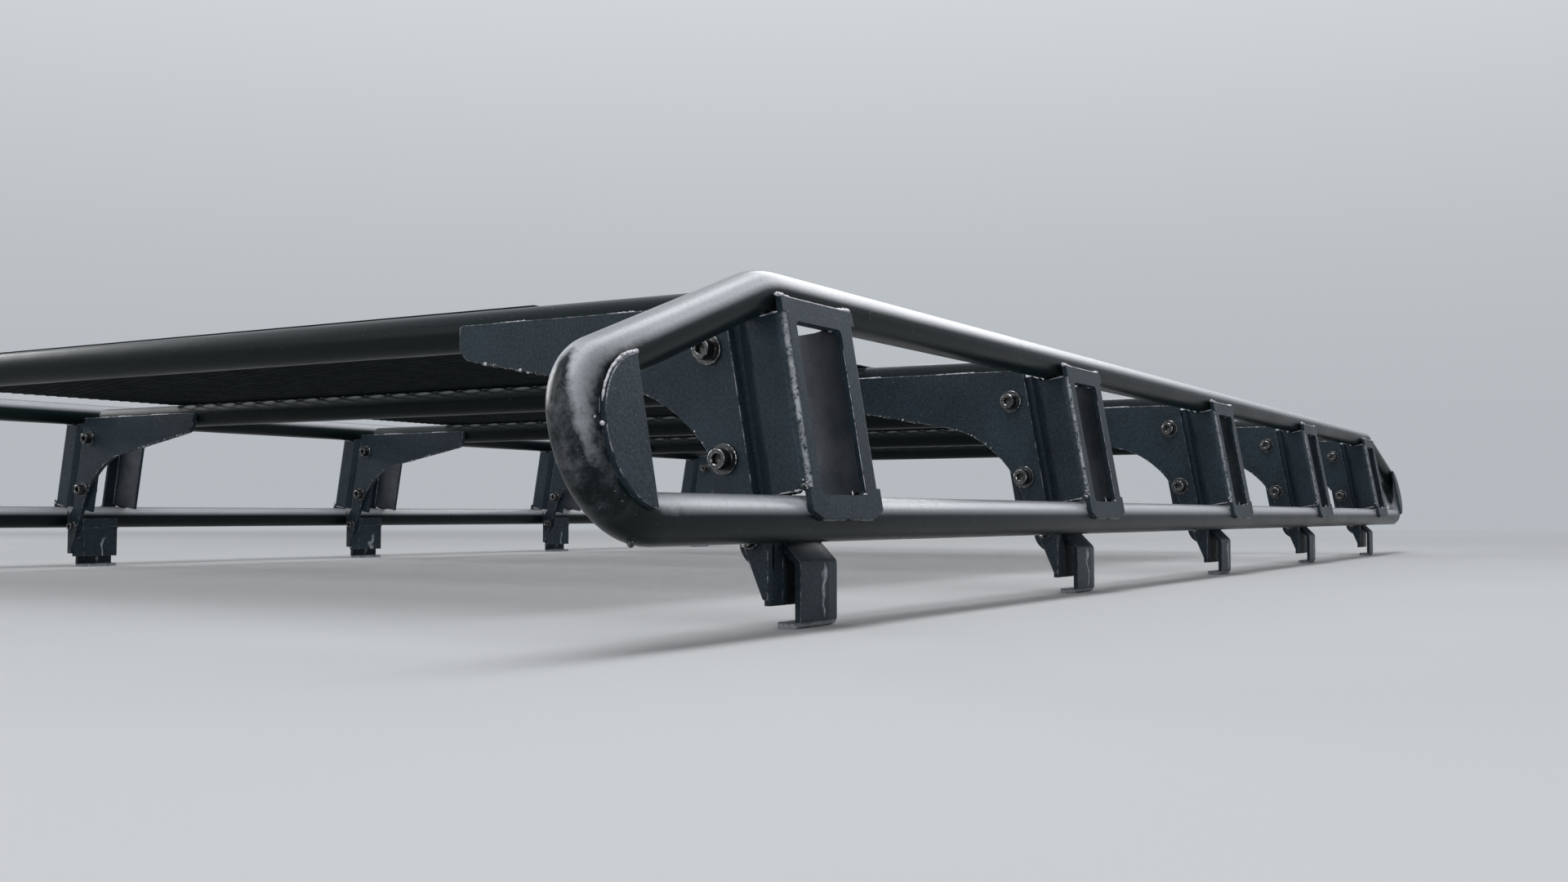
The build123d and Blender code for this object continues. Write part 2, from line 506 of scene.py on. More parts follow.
class Paint:
    """Wires up the nodes of a material or of the world."""

    def __init__(self, owner, shader="Principled BSDF"):
        owner.use_nodes = True
        self.owner = owner
        self.nodes = owner.node_tree.nodes
        self.links = owner.node_tree.links
        self.surface = self.nodes[shader].inputs
        self.place = self.node("ShaderNodeTexCoord", output="Object")

    def feed(self, socket, value):
        """Links a field to a socket, or sets a plain value on the socket itself."""
        if isinstance(value, Field):
            self.links.new(value.socket, socket)
        elif value is not None:
            socket.default_value = value

    def node(self, kind, inputs=None, output=0, **settings):
        made = self.nodes.new(kind)
        for key, value in settings.items():
            setattr(made, key, value)
        for key, value in (inputs or {}).items():
            self.feed(made.inputs[key], value)
        return Field(self, made.outputs[output])

    def axes(self, vector):
        """The three parts of a vector."""
        made = self.nodes.new("ShaderNodeSeparateXYZ")
        self.feed(made.inputs[0], vector)
        return [Field(self, socket) for socket in made.outputs]

    def blend(self, share, first, second):
        """From one colour to another by a share; each is a field or plain RGB."""
        first, second = (
            color if isinstance(color, Field) else (*color, 1) for color in (first, second))
        return self.node(
            "ShaderNodeMix", {"Factor": share, 6: first, 7: second}, 2, data_type="RGBA")

    def seen(self, ambient):
        """Full strength as seen, mirrored or through glass, and ambient as light."""
        rays = [self.node("ShaderNodeLightPath", output=f"Is {kind} Ray")
                for kind in ("Camera", "Glossy", "Transmission")]
        return most(*rays).span(0.0, 1.0, ambient, 1.0)

    def noise(self, scale, detail=3.0, roughness=0.5):
        return self.node("ShaderNodeTexNoise", {
            "Vector": self.place, "Scale": scale, "Detail": detail, "Roughness": roughness})

    def bump(self, height, distance, strength=1.0, normal=None):
        return self.node("ShaderNodeBump", {
            "Height": height, "Distance": distance, "Strength": strength, "Normal": normal})

    def facing(self):
        """The three parts of the surface's normal."""
        return self.axes(self.node("ShaderNodeNewGeometry", output="Normal"))

    def mark(self, layer):
        """Faces that a layer of the mesh marks: rim, fold or painted window light."""
        return self.node("ShaderNodeAttribute", output="Fac", attribute_name=layer)

    def finish(self, **sockets):
        for key, value in sockets.items():
            self.feed(self.surface[key.replace("_", " ")], value)

    def coat(self, color, roughness, normal, shine):
        self.finish(Base_Color=color, Roughness=roughness, Normal=normal,
                    Specular_IOR_Level=shine)


def painted(name):
    """Turns a function that wires up a paint into one that gives its material."""
    def keep(wire):
        def material():
            if name not in bpy.data.materials:
                wire(Paint(bpy.data.materials.new(name)), bpy.context.scene.rack_finish)
            return bpy.data.materials[name]
        return material
    return keep


def dusted(paint, color, look, times=1):
    """Thin patchy dust on the faces that look up."""
    patchy = paint.noise(38, 6, 0.65).span(0.42, 0.72)
    share = paint.facing()[2].span(0.35, 1.0) * patchy * (times * look.dusting)
    return paint.blend(share, color, look.dust)


@painted("painted_tube")
def tube_paint(paint, look):
    """Semi-gloss black with a painted sheen on top, painted shade round the sides of the front
    bends, and scuffs round those bends.
    """
    x, y, z = paint.axes(paint.place)
    nx, ny, nz = paint.facing()
    outward = abs(nx)
    side_on = paint.node("ShaderNodeCombineXYZ", {"Y": y, "Z": z})
    away = paint.node(
        "ShaderNodeVectorMath", {0: side_on, 1: SCUFF_AND_SHADE_AT}, "Value", operation="DISTANCE")
    near = away.span(52 * MM, 14 * MM)
    round_bend = away.span(100 * MM, 40 * MM)
    slant = abs(nx * ny) * 0.9

    grime = paint.noise(95, 8, 0.75) + near * 0.55 - slant * 0.85
    grime = grime.span(0.74, 0.88)
    smudge = near * paint.noise(70, 7, 0.75).span(0.46, 0.66, 0.0, 0.3)
    chafe = near * paint.noise(260, 5, 0.7).span(0.64, 0.70)
    stray = paint.noise(17, 9, 0.75).span(0.66, 0.80)
    speck = paint.noise(430, 3, 0.6).span(0.71, 0.76, 0.0, 0.8)
    paler = most(chafe, smudge, speck, stray)
    color = paint.blend(paler, look.tube, look.rubbed_and_lit)

    # Painted sheen: pale colour on the faces that look up and on the rails' upper sides, standing
    # in for the sky's reflection; painted shade takes it off the side-facing part of each front
    # bend, it is mostly left off the cross tubes, and grime and grain break it up
    side = slant * z.span(RAIL_Z + 8 * MM, RAIL_Z + 42 * MM)
    lit = nz + side - most(abs(ny) - outward, 0.0) * 0.8
    ragged = paint.noise(85, 7, 0.72).span(0.34, 0.66, -0.18, 0.18) * round_bend
    painted_sheen = (lit + ragged).span(0.13, 0.54, 0.0, 0.92) * nz.span(0.80, 0.99, 1.0, 0.35)
    painted_sheen *= 1.0 - round_bend * outward.span(0.45, 0.98, 0.0, 0.72)
    painted_sheen *= abs(x).span(CROSS_HALF, RAIL_SHEEN_IN, 0.04, 1.0)
    painted_sheen *= (1.0 - grime) * paint.noise(520, 3, 0.6).span(0.30, 0.50, 0.80, 1.0)
    color = paint.blend(painted_sheen, color, look.painted_sheen)

    rough = paint.noise(9, 5).span(0.3, 0.7, 0.26, 0.34) + paler * 0.16 + grime * 0.34
    peel = paint.bump(paint.noise(420, 2), 0.06 * MM, 0.5)
    grit = paint.bump(paint.noise(1500, 2).span(0.56, 0.70), 0.04 * MM, 0.5, peel)
    crust = paint.bump(grime, 0.25 * MM, 0.7, grit)
    dent = paint.bump(paint.noise(24, 2), 1.0 * MM, 0.3, crust)
    paint.coat(color, rough, dent, 0.12)


@painted("painted_plate")
def plate_paint(paint, look):
    """Satin slate black with a fine grain, scuffed along its cut edges, with painted highlights on
    the outer folds and along the clamp creases, and painted light inside each window.
    """
    x, _, z = paint.axes(paint.place)
    cloud = paint.noise(14, 6, 0.6).span(0.35, 0.65, 0.0, 0.45)
    fleck = paint.noise(520, 2, 0.6).span(0.38, 0.62, 0.0, 0.62)
    color = paint.blend(cloud + fleck, dimmed(look.plate, 0.35), look.plate)

    rubbed_and_lit = paint.mark("rim") * paint.noise(150, 6, 0.75).span(0.47, 0.60)
    # Painted highlight on the outer folds: fold faces turned part way outboard go pale, broken
    # into patches and by pits
    fold = paint.mark("fold")
    pits = paint.noise(420, 4, 0.65).span(0.59, 0.53)
    haze = paint.noise(90, 7, 0.75).span(0.40, 0.58, 0.35, 1.0)
    outward = abs(paint.facing()[0])
    crown = outward.span(0.50, 0.74, 0.05, 1.0) * outward.span(0.975, 0.88)
    folded = fold * pits * haze * crown
    speck = paint.noise(640, 3, 0.6).span(0.68, 0.73, 0.0, 0.5)
    # Painted light: the rear flange's face seen through each window is painted in the pale grey,
    # in patches, fainter toward its outboard side
    out = abs(x) + z * tan(LEAN)
    window_light_patches = paint.noise(26, 5, 0.6).span(0.36, 0.62, 0.30, 0.65)
    painted_window_light = paint.mark("painted_window_light") * window_light_patches * out.span(WINDOW_LIGHT_OUT, WINDOW_LIGHT_IN, 0.2, 1.0)
    color = paint.blend(most(rubbed_and_lit, painted_window_light, speck), color, look.rubbed_and_lit)
    # The folds and the clamp creases take the painted sheen colour as painted highlights
    color = paint.blend(most(folded, clamp_crease_highlight(paint)), color, look.painted_sheen)
    color = dusted(paint, color, look)

    gloss = most(rubbed_and_lit, fold * 0.9)
    rough = paint.noise(19, 5).span(0.3, 0.7, 0.36, 0.46) - gloss * 0.12
    grain = paint.bump(paint.noise(900, 3, 0.6), 0.12 * MM, 0.8)
    dimple = paint.bump(pits, 0.12 * MM, 0.5, grain)
    paint.coat(color, rough, dimple, 0.16)


def clamp_crease_highlight(paint):
    """Painted highlight: a pale wavy line down each clamp's face by its crease, and a pale band
    along its low fold.
    """
    _, y, z = paint.axes(paint.place)
    first = UPRIGHTS[0]
    half = (UPRIGHTS[1] - first) / 2
    across = y.math("WRAP", first - half, first + half) - (first + CREASE_HIGHLIGHT_BACK)
    wave = paint.noise(60, 2).span(0.3, 0.7, -1.0, 1.0) * (5 * MM)
    line = abs(across + wave).span(2.8 * MM, 0.8 * MM)
    on_clamp = abs(across).span(32 * MM, 30 * MM)
    down = z.span(5 * MM, 8 * MM) * z.span(40 * MM, 34 * MM)
    patchy = paint.noise(220, 5, 0.75).span(0.38, 0.56, 0.35, 0.9)
    low_fold = z.span(4.2 * MM, 2.4 * MM, 0.0, 0.9)
    return most(line * down, low_fold) * patchy * on_clamp


@painted("painted_weld")
def weld_paint(paint, look):
    """Glossy black that pools over weld beads."""
    # pale_share: scuffed-through patches that show the grey
    pale_share = paint.noise(150, 5, 0.65).span(0.60, 0.70)
    color = paint.blend(pale_share, look.tube, look.rubbed_and_lit)
    normal = paint.bump(paint.noise(700, 3), 0.12 * MM, 0.6)
    paint.coat(color, pale_share.span(0.0, 1.0, 0.20, 0.46), normal, 0.6)


@painted("chipped_and_highlit_weld")
def chipped_and_highlit_weld(paint, look):
    """Weld whose paint has chipped, so that the pale undercoat shows; that pale also stands in as
    painted highlights on the welds.
    """
    pale_share = paint.noise(330, 5, 0.6).span(0.34, 0.52)
    color = paint.blend(pale_share, look.tube, look.primer_and_highlight)
    normal = paint.bump(paint.noise(600, 3), 0.15 * MM, 0.7)
    paint.coat(color, pale_share.span(0.0, 1.0, 0.25, 0.42), normal, 0.6)


@painted("screw_oxide")
def screw_oxide(paint, look):
    """Black oxide on socket screws, scuffed bright on their rims."""
    paler = paint.mark("rim") * paint.noise(480, 4, 0.7).span(0.44, 0.60)
    color = paint.blend(paler, look.oxide, look.steel)
    rough = paint.noise(300, 3).span(0.35, 0.65, 0.20, 0.36)
    normal = paint.bump(paint.noise(1800, 2), 0.04 * MM, 0.5)
    paint.coat(color, rough, normal, 0.5)
    paint.finish(Metallic=paler)


@painted("painted_mesh")
def mesh_paint(paint, look):
    """Black paint on the expanded metal of the deck."""
    shade = paint.noise(28, 5).span(0.35, 0.65)
    color = paint.blend(shade, dimmed(look.tube, 0.7), look.tube)
    rough = paint.noise(60, 4).span(0.3, 0.7, 0.52, 0.66)
    normal = paint.bump(paint.noise(900, 2), 0.05 * MM, 0.6)
    paint.coat(dusted(paint, color, look, 2), rough, normal, 0.06)


# Tubes

def bent_loop(sides):
    """Closed tube through straight runs and bends, in the rails' own plane."""
    far = UPRIGHTS[-1]
    half = [
        (far + NOSE_REACH, 0.0, LOW_BEND),
        (far + NOSE_REACH, NOSE_RISE, NOSE_BEND),
        (far + DROP_START, RAIL_GAP, DROP_BEND),
    ]
    corners = half + [(-along, up, bend) for along, up, bend in reversed(half)]
    bm = bmesh.new()
    spot = Vector((0, 0, 0))
    row = ring(bm, TUBE_R, spot, (1, 0, 0), sides)
    for (along, up, bend), after in zip(corners, corners[1:] + corners[:1]):
        corner = Vector((along, up, 0))
        heading = (corner - spot).normalized()
        leaving = (Vector((*after[:2], 0)) - corner).normalized()
        turn = heading.angle(leaving)
        reach = bend * tan(turn / 2)
        row = push(bm, row, corner - heading * reach - spot)
        left = Vector((-heading.y, heading.x, 0))
        made = bmesh.ops.spin(
            bm, geom=row + edges_among(row), cent=corner - heading * reach + left * bend,
            axis=(0, 0, 1), angle=turn, steps=max(4, round(turn / BEND_STEP)))
        row = only_verts(made["geom_last"])
        spot = corner + leaving * reach
    push(bm, row, -spot)
    close_up(bm)
    return bm


class RACK_OT_side_loops(bpy.types.Operator):
    """Each side rail as one tube bent into a closed loop"""
    bl_idname = "rack.side_loops"
    bl_label = "Side loops"

    def execute(self, context):
        loop = bent_loop(context.scene.rack_sizes.tube_sides)
        both = gathered(loop, (rail_space(side, 0) for side in SIDES.values()))
        rails = [f"{level}_rail_{name}" for level in ("lower", "upper") for name in SIDES]
        show("side_loops", both, tube_paint(),
             rails + ["front_noses", "rear_noses"])
        return {"FINISHED"}


class RACK_OT_cross_tubes(bpy.types.Operator):
    """Round tubes across the rack, open at both ends"""
    bl_idname = "rack.cross_tubes"
    bl_label = "Cross tubes"

    def execute(self, context):
        sizes = context.scene.rack_sizes
        across = Vector((2 * CROSS_HALF, 0, 0))
        for number, y in enumerate(UPRIGHTS, start=1):
            bm = bmesh.new()
            end = Vector((-CROSS_HALF, y + CROSS_BACK, CROSS_Z))
            outer = ring(bm, TUBE_R, end, (1, 0, 0), sizes.tube_sides)
            row = push(bm, outer, across)
            row = push(bm, row, size=BORE_R / TUBE_R, about=end + across)
            row = push(bm, row, -across)
            bmesh.ops.bridge_loops(bm, edges=edges_among(outer) + edges_among(row))
            close_up(bm)
            break_edges(bm, sizes.rim, segments=1)
            node = f"cross_tube_{number}"
            show(node + "_painted", bm, tube_paint(), [node])
        return {"FINISHED"}


# Plates

class RACK_OT_nose_plates(bpy.types.Operator):
    """Half-round plates that lap over the bends of the noses"""
    bl_idname = "rack.nose_plates"
    bl_label = "Nose plates"

    def execute(self, context):
        plate = bmesh.new()
        bmesh.ops.create_circle(
            plate, cap_ends=True, segments=96, radius=NOSE_PLATE_R,
            matrix=Matrix.Translation((*NOSE_PLATE_AT, TUBE_R)))
        slice_at(plate, (-NOSE_PLATE_CUT, 0, 0), (1, 0, 0), near=NEAR, clear=True)
        thicken(plate, plate.faces[:], PLATE_T)
        close_up(plate)
        break_edges(plate, context.scene.rack_sizes.rim)
        four = gathered(plate, (
            nose_space(side, *end) for side in SIDES.values() for end in ENDS))
        show("nose_plates_painted", four, plate_paint(), ["nose_plates"], flat=True)
        return {"FINISHED"}


def near(value, level):
    return abs(value - level) < NEAR


def outboard(bm):
    """The faces that lie in the outboard plane of a bracket."""
    return [face for face in bm.faces if all(near(vert.co.z, FACE_OUT) for vert in face.verts)]


def raise_flanges(bm):
    """Slopes the top edges of both flanges up toward the gusset."""
    for vert in bm.verts:
        inboard = -vert.co.z - 0.7 * STEP_OUT
        if inboard > 0 and near(vert.co.y, CHANNEL_TOP):
            rise = FLANGE_RISE if vert.co.x < 0 else 0.45 * FLANGE_RISE
            vert.co.y += rise * min(1.0, inboard / STEP_OUT)


def add_tabs(bm):
    """Carries a bracket's face on over both tubes, out to its full width."""
    flat = outboard(bm)[0]
    for level, height in ((CHANNEL_LOW, BRACKET_LOW), (CHANNEL_TOP, BRACKET_TOP)):
        edge = [vert for vert in flat.verts if near(vert.co.y, level)]
        for vert in push(bm, edge, (0, height - level, 0)):
            reach = copysign(BRACKET_HALF - abs(vert.co.x), vert.co.x)
            partners = [edge.other_vert(vert) for edge in vert.link_edges]
            below = [partner for partner in partners if near(partner.co.y, level)][0]
            push(bm, [vert, below], (reach, 0, 0))


def cut_window(bm):
    left, right, low, high = WINDOW
    along, up = (1, 0, 0), (0, 1, 0)
    for level, normal in ((left, along), (right, along), (low, up), (high, up)):
        faces = outboard(bm)
        rims = dict.fromkeys(part for face in faces for part in (*face.edges, *face.verts))
        slice_at(bm, Vector(normal) * level, normal, [*faces, *rims])
    middles = ((face, face.calc_center_median()) for face in outboard(bm))
    gap = [face for face, at in middles if left < at.x < right and low < at.y < high]
    bmesh.ops.delete(bm, geom=gap, context="FACES")


def round_window(bm):
    """Rounds the window's four corners through the plate."""
    left, right, low, high = WINDOW
    corners = []
    for edge in bm.edges:
        a, b = (vert.co for vert in edge.verts)
        through = near(a.x, b.x) and near(a.y, b.y)
        at_side = near(a.x, left) or near(a.x, right)
        at_end = near(a.y, low) or near(a.y, high)
        if through and at_side and at_end:
            corners.append(edge)
    bevel(bm, corners, WINDOW_R, 5)


def bracket_mesh(sizes):
    """Channel folded from one plate, with tabs over both tubes and a window."""
    bm = bmesh.new()
    # The fold layer marks the outer folds, where plate paint puts a painted highlight
    paler = bm.faces.layers.float.new("fold")
    painted_window_light = bm.faces.layers.float.new("painted_window_light")
    folds = sheet(bm, [(along, CHANNEL_LOW, out) for along, out in (
        (BRACKET_HALF, -REAR_FLANGE_IN), (BRACKET_HALF, FACE_OUT),
        (-BRACKET_HALF, FACE_OUT), (-BRACKET_HALF, -STEP_OUT),
        (GUSSET_BACK, -STEP_IN), (GUSSET_BACK, -FRONT_FLANGE_IN),
    )], (0, CHANNEL_TOP - CHANNEL_LOW, 0))
    for edge in folds:
        outer = edge.verts[0].co.z > 0
        fold_edge(bm, edge, *((FOLD_R, 8, paler) if outer else (STEP_R, 4)))
    raise_flanges(bm)
    add_tabs(bm)
    cut_window(bm)
    across, up = CORNER_CUT
    for end in (-1, 1):
        slice_at(bm, (end * BRACKET_HALF, BRACKET_LOW + up, 0), (end * up, -across, 0), clear=True)
    close_up(bm)
    if outboard(bm)[0].normal.z < 0:
        bmesh.ops.reverse_faces(bm, faces=bm.faces)
    bmesh.ops.solidify(bm, geom=bm.faces[:], thickness=PLATE_T)
    orient(bm)
    round_window(bm)
    level = [edge for edge in shared_edges(bm) if edge.calc_face_angle() < radians(0.5)]
    bmesh.ops.dissolve_edges(bm, edges=level, use_verts=True)
    # Marks the rear flange's face that shows through the window, where plate paint puts painted
    # light
    for face in bm.faces:
        forward = BRACKET_HALF - PLATE_T - face.calc_center_median().x
        if face.normal.x < -0.9 and abs(forward) < 0.2 * MM:
            face[painted_window_light] = 1.0
    break_edges(bm, 0.7 * sizes.rim)
    return bm


class RACK_OT_brackets(bpy.types.Operator):
    """Folded and windowed brackets of the uprights"""
    bl_idname = "rack.brackets"
    bl_label = "Brackets"

    def execute(self, context):
        show_at_uprights("bracket", bracket_mesh(context.scene.rack_sizes), rail_space)
        return {"FINISHED"}


def knee():
    """Where the sloping lower edge of a gusset meets its leg's inner edge."""
    run = tan(LEG_ANGLE)
    fall = tan(GUSSET_SLOPE)
    height = (
        (GUSSET_TIP_LOW - (LEG_IN + CLAMP_SCREW_Z * run - GUSSET_TIP) * fall)
        / (1 - run * fall))
    return LEG_IN - (height - CLAMP_SCREW_Z) * run, height


def gusset_mesh(sizes):
    """Flat leg plate, its front face at no depth and its back behind it."""
    bm = bmesh.new()
    foot_in = LEG_IN + (CLAMP_SCREW_Z - LEG_LOW) * tan(LEG_ANGLE)
    face = face_from(bm, [
        (GUSSET_TIP, GUSSET_TOP),
        (lean_point(GUSSET_OUT, RAIL_GAP)[0], GUSSET_TOP),
        lean_point(GUSSET_OUT, (FLARE_TOP - RAIL_Z) / cos(LEAN)),
        (LEG_OUT, RAIL_Z), (LEG_OUT, LEG_LOW), (foot_in, LEG_LOW),
        knee(), (GUSSET_TIP, GUSSET_TIP_LOW),
    ])
    verts = list(face.verts)
    round_corner(bm, verts[6], GUSSET_ARC, 20)
    round_corner(bm, verts[7], GUSSET_TIP_R, 10)
    round_corner(bm, verts[0], GUSSET_TOP_R, 3)
    thicken(bm, bm.faces[:], GUSSET_T)
    close_up(bm)
    break_edges(bm, sizes.rim)
    return bm


class RACK_OT_gusset_legs(bpy.types.Operator):
    """Flat gusset legs from under the deck down to the gutters"""
    bl_idname = "rack.gusset_legs"
    bl_label = "Gusset legs"

    def execute(self, context):
        show_at_uprights("gusset_leg", gusset_mesh(context.scene.rack_sizes), gusset_space)
        return {"FINISHED"}


def block(bm, low, high, rounding=0.0):
    """Closed box between two corners, its low inboard corner rounded where asked."""
    low, high = Vector(low), Vector(high)
    face = face_from(bm, [
        low, (high.x, low.y, low.z), (high.x, high.y, low.z), (low.x, high.y, low.z)])
    if rounding:
        round_corner(bm, list(face.verts)[0], rounding, 10)
        bm.faces.ensure_lookup_table()
        face = bm.faces[-1]
    thicken(bm, [face], high.z - low.z)


def clamp_mesh(sizes):
    """Folded hook with a crease down its face, and the seat and tab behind it."""
    bm = bmesh.new()
    shoulder = CLAMP_BEND + CLAMP_OUT - SEAT_OUT
    folds = sheet(bm, [(out, up, -CLAMP_HALF) for out, up in (
        (CLAMP_OUT - LIP_W, 0), (CLAMP_OUT, 0), (CLAMP_OUT, CLAMP_BEND),
        (SEAT_OUT, shoulder), (SEAT_OUT, SEAT_TOP),
    )], (0, 0, 2 * CLAMP_HALF))
    for edge in folds:
        fold_edge(bm, edge, CLAMP_FOLD_R, 6)
    for place in (CREASE_AT - CREASE_HALF, CREASE_AT + CREASE_HALF):
        slice_at(bm, (0, 0, place), (0, 0, 1))
    for vert in bm.verts:
        if vert.co.z < CREASE_AT and vert.co.x > SEAT_OUT + 1 * MM:
            vert.co.x -= (CREASE_AT - vert.co.z) * tan(CREASE_ANGLE)
    orient(bm)
    if min(bm.faces, key=lambda face: face.calc_center_median().y).normal.y > 0:
        bmesh.ops.reverse_faces(bm, faces=bm.faces)
    bmesh.ops.solidify(bm, geom=bm.faces[:], thickness=PLATE_T)
    close_up(bm)
    seat = bmesh.new()
    back, front = CLAMP_HALF - SEAT_GAP, -GUSSET_BACK
    inner = SEAT_OUT - PLATE_T
    block(seat, (inner, SEAT_LOW, back), (SEAT_OUT, SEAT_TOP, front))
    block(seat, (inner, SEAT_LOW, -CLAMP_HALF), (SEAT_OUT, shoulder - SEAT_GAP, back))
    block(seat, (SEAT_OUT - TAB_W, TAB_LOW, front - TAB_T), (SEAT_OUT, SEAT_TOP, front),
          rounding=0.8 * TAB_W)
    close_up(seat)
    break_edges(seat, 0.7 * sizes.rim)
    break_edges(bm, 0.7 * sizes.rim)
    join(bm, seat)
    return bm


class RACK_OT_gutter_clamps(bpy.types.Operator):
    """Hooks round the gutter, with their seats and tabs"""
    bl_idname = "rack.gutter_clamps"
    bl_label = "Gutter clamps"

    def execute(self, context):
        show_at_uprights("gutter_clamp", clamp_mesh(context.scene.rack_sizes), cross_space)
        return {"FINISHED"}


# Deck

def mesh_panel(reach_x, reach_y, sizes):
    """Expanded metal out to two reaches from its middle, its strands tilted."""
    cells = (ceil(2 * reach_x / sizes.mesh_long)
             + ceil(2 * reach_y / sizes.mesh_short) + 2)
    bm = bmesh.new()
    bmesh.ops.create_grid(
        bm, x_segments=cells, y_segments=cells, size=cells / 2,
        matrix=Matrix.Rotation(radians(45), 4, "Z"))
    root = sqrt(2)
    bmesh.ops.scale(
        bm, verts=bm.verts, vec=(sizes.mesh_long / root, sizes.mesh_short / root, 1))
    for reach, axis in ((reach_x, Vector((1, 0, 0))), (reach_y, Vector((0, 1, 0)))):
        for end in (-1, 1):
            slice_at(bm, axis * end * reach, axis * end, near=NEAR, clear=True)
    holes = bm.faces[:]
    bmesh.ops.inset_individual(
        bm, faces=holes, thickness=sizes.strand / 2, use_even_offset=True)
    for face in holes:
        centre = face.calc_center_median()
        for vert in face.verts:
            vert.co.z += STRAND_TILT * (vert.co.y - centre.y)
    bmesh.ops.delete(bm, geom=holes, context="FACES")
    bmesh.ops.solidify(bm, geom=bm.faces[:], thickness=sizes.mesh_sheet)
    orient(bm)
    return bm


class RACK_OT_deck(bpy.types.Operator):
    """Expanded metal deck, in panels cut between the cross tubes"""
    bl_idname = "rack.deck"
    bl_label = "Deck"

    def execute(self, context):
        for number in range(1, len(UPRIGHTS)):
            node = f"deck_panel_{number}"
            low, high = (Vector(corner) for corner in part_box(node))
            half = (high - low) / 2
            bm = mesh_panel(half.x, half.y, context.scene.rack_sizes)
            bmesh.ops.translate(bm, verts=bm.verts, vec=(low + high) / 2)
            show(node + "_mesh", bm, mesh_paint(), [node], sharp=30)
        return {"FINISHED"}


# Screws

def hexagon(row, apothem):
    """Moves a ring's vertices out to a hexagon about the screw's axis."""
    for vert in row:
        off = atan2(vert.co.y, vert.co.x) % radians(60) - radians(30)
        corner = vert.co.xy.normalized() * apothem / cos(off)
        vert.co.x, vert.co.y = corner


def turned(bm, steps, sides):
    """Stacked rings of (radius, height) in millimetres, closed at the first."""
    (radius, height), *steps = [(radius * MM, height * MM) for radius, height in steps]
    rows = [ring(bm, radius, (0, 0, height), (0, 0, 1), sides)]
    cap(bm, rows[0])
    for new_radius, new_height in steps:
        rows.append(push(
            bm, rows[-1], (0, 0, new_height - height), new_radius / radius, (0, 0, new_height)))
        radius, height = new_radius, new_height
    return rows


def screw_mesh(washer, head, socket, nut, grip):
    """Socket screw on its washer, facing up, with the nut below what it clamps."""
    bm = bmesh.new()
    (washer_r, washer_t), (head_r, head_t), (across, depth) = washer, head, socket
    top = washer_t + head_t
    rows = turned(bm, [
        (washer_r - 0.25, 0), (washer_r, 0.25),
        (washer_r, washer_t - 0.3), (washer_r - 0.3, washer_t),
        (head_r + 0.3, washer_t), (head_r, washer_t + 0.4), (head_r, top - 1.0),
        (head_r - 0.35, top - 0.3), (head_r - 0.9, top),
        (across / 2 + 0.9, top), (across / 2 + 0.5, top - 0.35),
        (across / 2 + 0.3, top - 0.8), (across / 2 + 0.3, top - depth),
        (0.4, top - depth - 0.6),
    ], 60)
    for row in rows[11:13]:
        hexagon(row, across / 2 * MM)
    for row in rows[5:7]:
        for vert in row[1::2]:
            vert.co.x *= 1 - KNURL / head_r
            vert.co.y *= 1 - KNURL / head_r
    cap(bm, rows[-1])
    mark = bm.faces.layers.float.new("rim")
    paler = [set(rows[first] + rows[first + 1]) for first in (2, 7, 9)]
    for face in bm.faces:
        if any(pair.issuperset(face.verts) for pair in paler):
            face[mark] = 1.0
    back = bmesh.new()
    (wide, thick), low = nut, -grip / MM
    rows = turned(back, [
        (wide / 2 - 0.4, low), (wide / 2, low - 0.5),
        (wide / 2, low - thick + 0.6), (wide / 2 - 0.2, low - thick),
        (wide / 4, low - thick), (wide / 4, low - thick - 1.6),
        (wide / 4 - 0.6, low - thick - 2.2),
    ], 36)
    for row in rows[1:3]:
        hexagon(row, wide / 2 * MM)
    cap(back, rows[-1])
    join(bm, back)
    orient(bm)
    return bm


class RACK_OT_screws(bpy.types.Operator):
    """Socket screws with washers and nuts, through brackets and clamps"""
    bl_idname = "rack.screws"
    bl_label = "Screws"

    def execute(self, context):
        draw = random.Random(11)
        large = screw_mesh(**LARGE_SCREW, grip=GUSSET_T + PLATE_T)
        small = screw_mesh(**SMALL_SCREW, grip=GUSSET_T + TAB_T)
        for name, side in SIDES.items():
            both = bmesh.new()
            for y in UPRIGHTS:
                face = cross_space(side, y - BRACKET_HALF)
                seats = [(lean_point(SCREW_IN, up), large) for up in SCREW_UP]
                seats.append(((HALF_WIDTH - CLAMP_SCREW_IN, CLAMP_SCREW_Z), small))
                for seat, screw in seats:
                    turn = Matrix.Rotation(draw.uniform(0, tau), 4, "Z")
                    join(both, placed(screw, face @ Matrix.Translation((*seat, 0)) @ turn))
            show(f"screws_{name}", both, screw_oxide(), sharp=32)
        large.free()
        small.free()
        return {"FINISHED"}


# Welds

